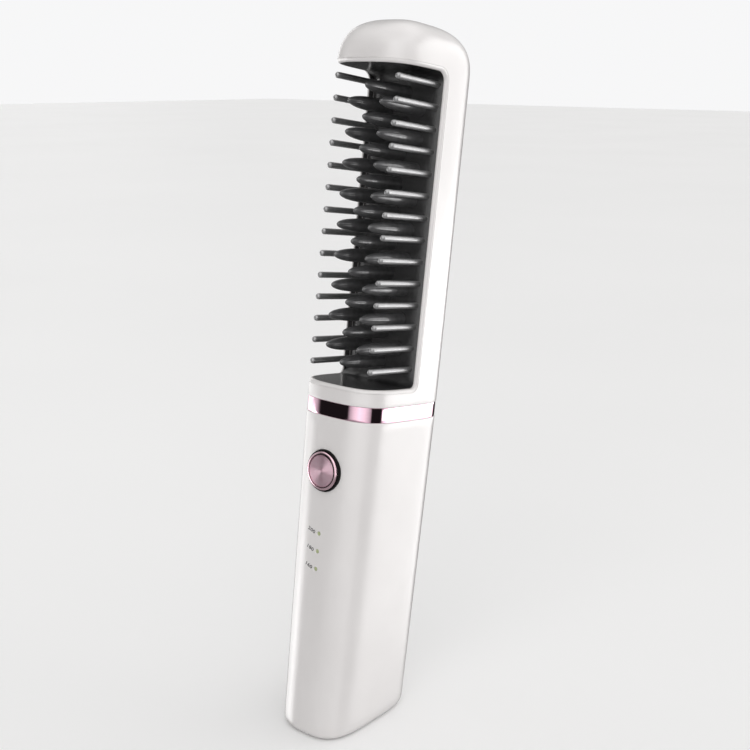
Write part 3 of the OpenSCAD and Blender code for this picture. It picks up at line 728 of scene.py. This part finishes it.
# Comb frame
def build_frame():
    outline_n = 800
    straight_z = 150.0
    back_y = 6
    run_n = 28
    run_power = 1.8
    side_n = 60
    across = 60
    thick = 1.1
    edge_r = 0.15
    flat = 0.99
    xs, ys = [], []
    for s in np.linspace(0, S_ALL, outline_n):
        x, y, _ = head_point(float(s), straight_z, FRAME_IN)
        if y < back_y:
            xs.append(x)
            ys.append(y)
    front = float(ys[0])

    profile = []
    run = EDGE_Y - CORNER_LOW
    for i in range(run_n):
        t = i / run_n
        profile.append((front + (run - front) * t ** run_power, SHELF_Z, 0.0, -1.0))
    for a in quarter(6):
        c, s = math.cos(a), math.sin(a)
        profile.append((run + CORNER_LOW * s, SHELF_Z + CORNER_LOW * (1 - c), s, -c))
    z0, z1 = SHELF_Z + CORNER_LOW, RIM_Z - CORNER_TOP
    for i in range(1, side_n):
        profile.append((EDGE_Y, z0 + (z1 - z0) * i / side_n, 1.0, 0.0))
    run = EDGE_Y - CORNER_TOP
    for a in quarter(8):
        c, s = math.cos(a), math.sin(a)
        profile.append((run + CORNER_TOP * c, z1 + CORNER_TOP * s, c, s))
    for i in range(run_n - 1, -1, -1):
        t = i / run_n
        profile.append((front + (run - front) * t ** run_power, RIM_Z, 0.0, 1.0))

    def recess(x, z):
        """How far the face lies behind the lip: a plateau that falls away toward both sides."""
        low = min(max((z - SHELF_Z - FACE_START) / FACE_EASE_LOW, 0.0), 1.0)
        top = min(max((RIM_Z - FACE_START - z) / FACE_EASE_TOP, 0.0), 1.0)
        w = low * top
        w = w * w * (3 - 2 * w)
        fall = max(abs(x) - FACE_HALF, 0.0) / (FACE_EDGE - FACE_HALF)
        return w * (FACE_IN + FACE_FALL * fall ** 2)

    def row(p, shrink, depth):
        """Points across the frame at one step of the profile, with a raised border at both ends."""
        y, z, ny, nz = p
        y = max(y, front + shrink) if abs(nz) > flat else y
        w = max(float(np.interp(y, ys, xs)) - shrink, 0.0)
        inner = max(w - BORDER_W, 0.0)
        out = []
        for c in range(across + 1):
            edge = c in (0, across)
            x = (w if c else -w) if edge else inner * (2 * (c - 1) / (across - 2) - 1)
            d = depth + (min(BORDER_IN, recess(x, z)) if edge else recess(x, z)) * max(ny, 0.0)
            out.append((x, y + ny * d, z + nz * d))
        return out

    verts, faces = [], []

    def grid(shrink, depth, flip):
        """One face of the frame. Returns the vertex numbers round its border."""
        first = len(verts)
        for p in profile:
            verts.extend(row(p, shrink, depth))
        n = across + 1
        for i in range(len(profile) - 1):
            for c in range(across):
                a = first + i * n + c
                face = (a, a + 1, a + 1 + n, a + n)
                faces.append(face[::-1] if flip else face)
        left = [first + i * n for i in range(len(profile))]
        right = [first + i * n + across for i in range(len(profile))]
        head = [first + (len(profile) - 1) * n + c for c in range(across + 1)]
        foot = [first + c for c in range(across + 1)]
        return foot + right[1:] + head[::-1][1:] + left[::-1][1:-1]

    def border(shrink, depth):
        """Points round the border only, in the order that grid returns them."""
        rows = [row(p, shrink, depth) for p in profile]
        first = len(verts)
        verts.extend(rows[0] + [r[-1] for r in rows[1:]])
        verts.extend(rows[-1][::-1][1:] + [r[0] for r in rows[::-1][1:-1]])
        return list(range(first, len(verts)))

    chain = [grid(edge_r, 0.0, True)]
    for a in quarter(3)[1:]:
        chain.append(border(edge_r * (1 - math.sin(a)), edge_r * (1 - math.cos(a))))
    chain.append(grid(0.0, thick, False))
    faces += bridge(chain)
    piece("comb_skin", verts, faces, comb_black, replaces=["comb_frame"])


build_frame()


# Pins and teeth
def pin_profile():
    profile = [(PIN_R * math.sin(a), PIN_TIP + PIN_R * (1 - math.cos(a))) for a in quarter(8)]
    return profile + [(PIN_R, PIN_MID), (PIN_R, PIN_ROOT), (0, PIN_ROOT)]


def tooth_profile():
    length = TOOTH_ROOT - TOOTH_TIP
    profile = []
    steps = 26
    for i in range(steps + 1):
        s = length * (i / steps) ** 2
        profile.append((TOOTH_R * math.sqrt(max(1 - (1 - s / length) ** TOOTH_EXP, 0.0)), TOOTH_TIP + s))
    return profile + [(0, TOOTH_ROOT)]


def row_of(name, x, heights, profile, segments, material, cad_node):
    verts, faces = joined([lathe(profile, segments, x, z) for z in heights])
    piece(name, verts, faces, material, replaces=[cad_node])


row_of("pin_row_left", -PIN_X, PIN_ZS, pin_profile(), PIN_N, pin_grey, "pins_left")
row_of("pin_row_right", PIN_X, PIN_ZS, pin_profile(), PIN_N, pin_grey, "pins_right")
row_of("tooth_row_left", -TOOTH_X, SIDE_ZS, tooth_profile(), TOOTH_N, tooth_coat, "teeth_left")
row_of("tooth_row_right", TOOTH_X, SIDE_ZS, tooth_profile(), TOOTH_N, tooth_coat, "teeth_right")
row_of("tooth_row_centre", 0, CENTRE_ZS, tooth_profile(), TOOTH_N, tooth_coat, "teeth_centre")


# Button
def build_button():
    face = -21.7
    side_r = 5.95
    rim_r = 4.95
    rim_flat = 0.1
    recess_r = 4.9
    recess_y = face + 0.75
    bead_w = side_r - rim_r - rim_flat
    bead_h = 0.5
    skirt = 3.8
    skirt_r = 0.05
    stem_r = 1.6
    stem_end = -14.5
    cap = [(0, recess_y), (recess_r, recess_y), (recess_r, face + 0.06), (recess_r + 0.03, face + 0.01)]
    cap += [(rim_r + rim_flat + bead_w * math.sin(a), face + bead_h * (1 - math.cos(a))) for a in quarter(8)]
    cap += [(side_r, face + skirt - skirt_r), (side_r - skirt_r, face + skirt), (stem_r, face + skirt)]
    cap += [(stem_r, stem_end), (0, stem_end)]
    verts, faces = lathe(cap, BUTTON_N, 0, BUTTON_Z)
    piece("power_button", verts, faces, rose_button, body="button", replaces=["button_cap"])
    dish = 0.08
    r = 4.85
    steps = 8
    edge_y = face + 0.1
    back_y = face + 0.68
    disc = [(r * i / steps, edge_y + dish * (1 - (i / steps) ** 2)) for i in range(steps)]
    disc += [(r - 0.06, edge_y), (r - 0.02, edge_y + 0.02), (r, edge_y + 0.06), (r, back_y), (0, back_y)]
    verts, faces = lathe(disc, BUTTON_N, 0, BUTTON_Z)
    piece("button_face", verts, faces, rose_disc, body="button", replaces=["button_disc"],
          upright=True)
    front = -20.9
    flange_y = -16.6
    root_y = -15.6
    bore_r = 6.05
    ring_r = 6.45
    flange_r = 7.85
    bezel = [(bore_r, root_y), (bore_r, front + 0.08), (bore_r + 0.02, front + 0.02), (bore_r + 0.07, front)]
    bezel += [(ring_r - 0.09, front), (ring_r - 0.03, front + 0.03), (ring_r, front + 0.1)]
    bezel += [(ring_r, flange_y), (flange_r, flange_y), (flange_r, root_y), (bore_r, root_y)]
    verts, faces = lathe(bezel, BUTTON_N, 0, BUTTON_Z)
    # The bezel ring's near-black colour is painted shade for the gap round the button
    piece("button_ring", verts, faces, bezel_black, replaces=["button_bezel"])


build_button()


# Indicator windows and their printed numbers
def build_indicators():
    sunk, dome_h = 0.08, 0.14
    stem_from, stem_end = -17.5, -11.0
    plate_half, plate_front, plate_back, plate_over = 2.0, -17.7, -15.9, 2
    parts = []
    for z in LED_ZS:
        front = -HALF_D + FRONT_TAPER * (1 - z / HANDLE_L)
        dome = [(LED_R * math.sin(a), front + sunk + dome_h * (1 - math.cos(a))) for a in quarter(5)]
        stem = [(LED_R, stem_from), (LED_R, stem_end), (0, stem_end)]
        parts.append(lathe(dome + stem, GUIDE_N, 0, z))
    ends = (LED_ZS[0] - plate_over, LED_ZS[2] + plate_over)
    box = [(sx * plate_half, y, z) for z in ends for y in (plate_front, plate_back) for sx in (-1, 1)]
    parts.append((box, [(0, 2, 3, 1), (4, 5, 7, 6), (0, 1, 5, 4), (2, 6, 7, 3), (0, 4, 6, 2), (1, 3, 7, 5)]))
    verts, faces = joined(parts)
    piece("indicator_windows", verts, faces, guide_clear, replaces=["light_guides"])


build_indicators()


def front_y(x, z):
    """Depth of the handle's front surface at width x and height z."""
    t = 1 - z / HANDLE_L
    hx = HALF_W - SIDE_TAPER * t
    y0, y1 = -HALF_D + FRONT_TAPER * t, HALF_D
    half = (y1 - y0) / 2
    return (y0 + y1) / 2 - half * (1 - min(abs(x) / hx, 1.0) ** SIDE_EXP) ** (1 / FRONT_EXP)


# The printed numbers: their middle beside each window, their clockwise turn, width, height and depth
NUMBER_X = -2.95
NUMBER_UP = 0.5
NUMBER_TURN = math.radians(17.5)
NUMBER_STRETCH = 1.35
NUMBER_SIZE = 1.55
NUMBER_SPACING = 1.05
NUMBER_BOLD = 0.02
NUMBER_PROUD = 0.025
NUMBER_SUNK = 0.05
NUMBER_WELD = 1e-5
NUMBER_EDGE = 0.4


def build_numbers():
    for word, z in zip(("160", "180", "200"), LED_ZS):
        curve = bpy.data.curves.new("number", "FONT")
        curve.body = word
        curve.size = NUMBER_SIZE
        curve.align_x = "CENTER"
        curve.align_y = "CENTER"
        curve.space_character = NUMBER_SPACING
        curve.offset = NUMBER_BOLD
        curve.resolution_u = 4
        temp = bpy.data.objects.new("number", curve)
        scene.collection.objects.link(temp)
        bpy.context.view_layer.update()
        flat = bpy.data.meshes.new_from_object(temp.evaluated_get(bpy.context.evaluated_depsgraph_get()))
        bm = bmesh.new()
        bm.from_mesh(flat)
        bmesh.ops.remove_doubles(bm, verts=bm.verts, dist=NUMBER_WELD)
        long_edges = [e for e in bm.edges if e.calc_length() > NUMBER_EDGE]
        bmesh.ops.subdivide_edges(bm, edges=long_edges, cuts=1)
        bmesh.ops.triangulate(bm, faces=bm.faces)
        bm.verts.ensure_lookup_table()
        bm.verts.index_update()
        count = len(bm.verts)
        top = []
        for v in bm.verts:
            x, h = v.co.x * NUMBER_STRETCH, v.co.y
            c, s = math.cos(NUMBER_TURN), math.sin(NUMBER_TURN)
            top.append((NUMBER_X + x * c + h * s, NUMBER_UP + z - x * s + h * c))
        tris = [tuple(v.index for v in f.verts) for f in bm.faces]
        rims = [e for e in bm.edges if len(e.link_faces) == 1]
        verts = [(x, front_y(x, h) - NUMBER_PROUD, h) for x, h in top]
        verts += [(x, front_y(x, h) + NUMBER_SUNK, h) for x, h in top]
        faces = list(tris) + [tuple(count + i for i in reversed(t)) for t in tris]
        for e in rims:
            a, b = (v.index for v in e.verts)
            order = [v.index for v in e.link_faces[0].verts]
            if (order.index(a) + 1) % 3 != order.index(b):
                a, b = b, a
            faces.append((b, a, count + a, count + b))
        bm.free()
        bpy.data.objects.remove(temp)
        piece("number_" + word, verts, faces, print_grey)


build_numbers()


# Floor, light and camera
FLOOR_HALF = 6.0
FLOOR_DARK = (0.93, 0.93, 0.93)
FLOOR_LIGHT = (0.95, 0.95, 0.95)
FLOOR_TONE = 3.0


def build_floor():
    mat, tree, bsdf = new_material("floor_pale")
    coord = node(tree, "ShaderNodeTexCoord").outputs["Object"]
    tree.links.new(tinted(tree, coord, FLOOR_DARK, FLOOR_LIGHT, FLOOR_TONE), bsdf.inputs["Base Color"])
    bsdf.inputs["Roughness"].default_value = 0.6
    bsdf.inputs["Specular IOR Level"].default_value = 0.2
    corners = [(sx * FLOOR_HALF, sy * FLOOR_HALF, 0) for sx, sy in ((-1, -1), (1, -1), (1, 1), (-1, 1))]
    mesh = bpy.data.meshes.new("floor")
    mesh.from_pydata(corners, [], [(0, 1, 2, 3)])
    mesh.materials.append(mat)
    floor = bpy.data.objects.new("floor", mesh)
    scene.collection.objects.link(floor)
    floor.visible_glossy = False


build_floor()

# The surroundings by azimuth in degrees (0 is -Y, 90 is +X): brightness, then how many degrees up and down
# each zone reaches
ZONES = [
    (-180, 0.012, 3, 30), (-134, 0.012, 3, 30), (-128, 0.40, 25, 10), (-110, 0.45, 20, 20),
    (-104, 0.57, 0, 30), (-77, 0.57, 0, 30), (-68, 0.27, 25, 30), (-58, 0.20, 25, 30),
    (-50, 0.0035, 25, 25), (-14, 0.0035, 40, 10), (-8, 0.18, 52, 8), (2, 0.32, 55, 8),
    (22, 0.46, 55, 10), (42, 0.38, 55, 14), (56, 0.26, 52, 20), (66, 0.15, 40, 25),
    (70, 0.0035, 15, 30), (105, 0.0035, 15, 30), (109, 0.24, 30, 30), (116, 0.46, 30, 30),
    (124, 0.66, 30, 30), (174, 0.66, 30, 30), (180, 0.012, 3, 30),
]
ZONE_POWER = 3.0
ZONE_EDGE = 0.12
TOP_FROM = 0.57
TOP_TO = 0.87
TOP_LIGHT = 1.05
FILL_LIGHT = 0.32
# Lamps: azimuth and elevation in degrees, power, and the cosines of the rim's and the core's angle
LAMPS = ((85, 35, 0.3, 0.80, 0.97), (178, 38, 0.2, 0.82, 0.94), (-66, -19, 2.4, 0.970, 0.9925))
# A level strip of light: elevation, the azimuths between which it fades in, half height and brightness
STRIP_EL = -12
STRIP_FROM = 105
STRIP_TO = 115
STRIP_HALF = 0.07
STRIP_LIGHT = 4.0
LIGHT_TINT = (1, 0.995, 0.99, 1)
BACKDROP = (0.93, 0.93, 0.935, 1)


def build_world():
    world = bpy.data.worlds.new("studio")
    world.use_nodes = True
    scene.world = world
    tree = world.node_tree
    tree.nodes.clear()
    out = tree.nodes.new("ShaderNodeOutputWorld")
    coord = tree.nodes.new("ShaderNodeTexCoord")
    parts = tree.nodes.new("ShaderNodeSeparateXYZ")
    tree.links.new(coord.outputs["Generated"], parts.inputs[0])

    def math_node(op, a, b=None, c=None):
        n = node(tree, "ShaderNodeMath", operation=op)
        for k, v in enumerate((a, b, c)):
            if v is None:
                continue
            if isinstance(v, (int, float)):
                n.inputs[k].default_value = v
            else:
                tree.links.new(v, n.inputs[k])
        return n.outputs[0]

    minus_y = math_node("MULTIPLY", parts.outputs["Y"], -1.0)
    azimuth = math_node("ARCTAN2", parts.outputs["X"], minus_y)
    fraction = math_node("ADD", math_node("DIVIDE", azimuth, 2 * math.pi), 0.5)
    ramp = tree.nodes.new("ShaderNodeValToRGB")
    ramp.color_ramp.interpolation = "LINEAR"
    elements = ramp.color_ramp.elements
    while len(elements) > 1:
        elements.remove(elements[-1])
    for k, (az, value, up, down) in enumerate(ZONES):
        place = (az + 180) / 360
        e = elements[0] if k == 0 else elements.new(place)
        e.position = place
        e.color = (value, math.sin(math.radians(up)), math.sin(math.radians(down)), 1)
    tree.links.new(fraction, ramp.inputs["Fac"])
    channels = tree.nodes.new("ShaderNodeSeparateColor")
    tree.links.new(ramp.outputs["Color"], channels.inputs[0])

    def fade(value, low, high):
        n = node(tree, "ShaderNodeMapRange", interpolation_type="SMOOTHSTEP", in_From_Min=low,
                 in_From_Max=high)
        tree.links.new(value, n.inputs["Value"])
        return n.outputs[0]

    height = parts.outputs["Z"]
    half = ZONE_EDGE / 2
    over = fade(math_node("SUBTRACT", height, channels.outputs[1]), -half, half)
    depth = math_node("MULTIPLY", height, -1.0)
    under = fade(math_node("SUBTRACT", depth, channels.outputs[2]), -half, half)
    beside = math_node("MULTIPLY", math_node("SUBTRACT", 1.0, over), math_node("SUBTRACT", 1.0, under))
    above = fade(height, TOP_FROM, TOP_TO)
    between = math_node("MULTIPLY", math_node("SUBTRACT", 1.0, beside), math_node("SUBTRACT", 1.0, above))
    zone = math_node("MULTIPLY", channels.outputs[0], ZONE_POWER)
    mixed = math_node("ADD", math_node("MULTIPLY", zone, beside), math_node("MULTIPLY", above, TOP_LIGHT))
    mixed = math_node("ADD", mixed, math_node("MULTIPLY", between, FILL_LIGHT))
    for lamp_az, lamp_el, power, rim, core in LAMPS:
        az, el = math.radians(lamp_az), math.radians(lamp_el)
        toward = node(tree, "ShaderNodeVectorMath", operation="DOT_PRODUCT")
        level = math.cos(el)
        toward.inputs[1].default_value = (math.sin(az) * level, -math.cos(az) * level, math.sin(el))
        tree.links.new(coord.outputs["Generated"], toward.inputs[0])
        lamp = fade(toward.outputs["Value"], rim, core)
        mixed = math_node("ADD", mixed, math_node("MULTIPLY", lamp, power))
    off_strip = math_node("ABSOLUTE", math_node("SUBTRACT", height, math.sin(math.radians(STRIP_EL))))
    strip = math_node("SUBTRACT", 1.0, fade(off_strip, STRIP_HALF / 2, STRIP_HALF))
    strip = math_node("MULTIPLY", strip, fade(azimuth, math.radians(STRIP_FROM), math.radians(STRIP_TO)))
    mixed = math_node("ADD", mixed, math_node("MULTIPLY", strip, STRIP_LIGHT))
    light = tree.nodes.new("ShaderNodeBackground")
    tree.links.new(mixed, light.inputs["Strength"])
    light.inputs["Color"].default_value = LIGHT_TINT
    seen = tree.nodes.new("ShaderNodeBackground")
    seen.inputs["Color"].default_value = BACKDROP
    path = tree.nodes.new("ShaderNodeLightPath")
    mix = tree.nodes.new("ShaderNodeMixShader")
    tree.links.new(path.outputs["Is Camera Ray"], mix.inputs[0])
    tree.links.new(light.outputs[0], mix.inputs[1])
    tree.links.new(seen.outputs[0], mix.inputs[2])
    tree.links.new(mix.outputs[0], out.inputs[0])


build_world()


# The camera in millimetres, with its right, up and forward directions
SENSOR = 36.0
LENS = 56.23
CAMERA_AT = (229.1, -258.9, 203.6)
CAMERA_RIGHT = (0.7668, 0.6418, 0.0051)
CAMERA_UP = (-0.1653, 0.1897, 0.9678)
CAMERA_AHEAD = (-0.6202, 0.743, -0.2516)


def build_camera():
    data = bpy.data.cameras.new("camera")
    data.sensor_width = SENSOR
    data.lens = LENS
    data.clip_start = 0.01
    data.clip_end = 50.0
    cam = bpy.data.objects.new("camera", data)
    scene.collection.objects.link(cam)
    turn = Matrix((CAMERA_RIGHT, CAMERA_UP, -Vector(CAMERA_AHEAD))).transposed().to_4x4()
    cam.matrix_world = Matrix.Translation(Vector(CAMERA_AT) * MM) @ turn
    scene.camera = cam


build_camera()
scene.view_settings.view_transform = "Standard"
scene.view_settings.look = "None"
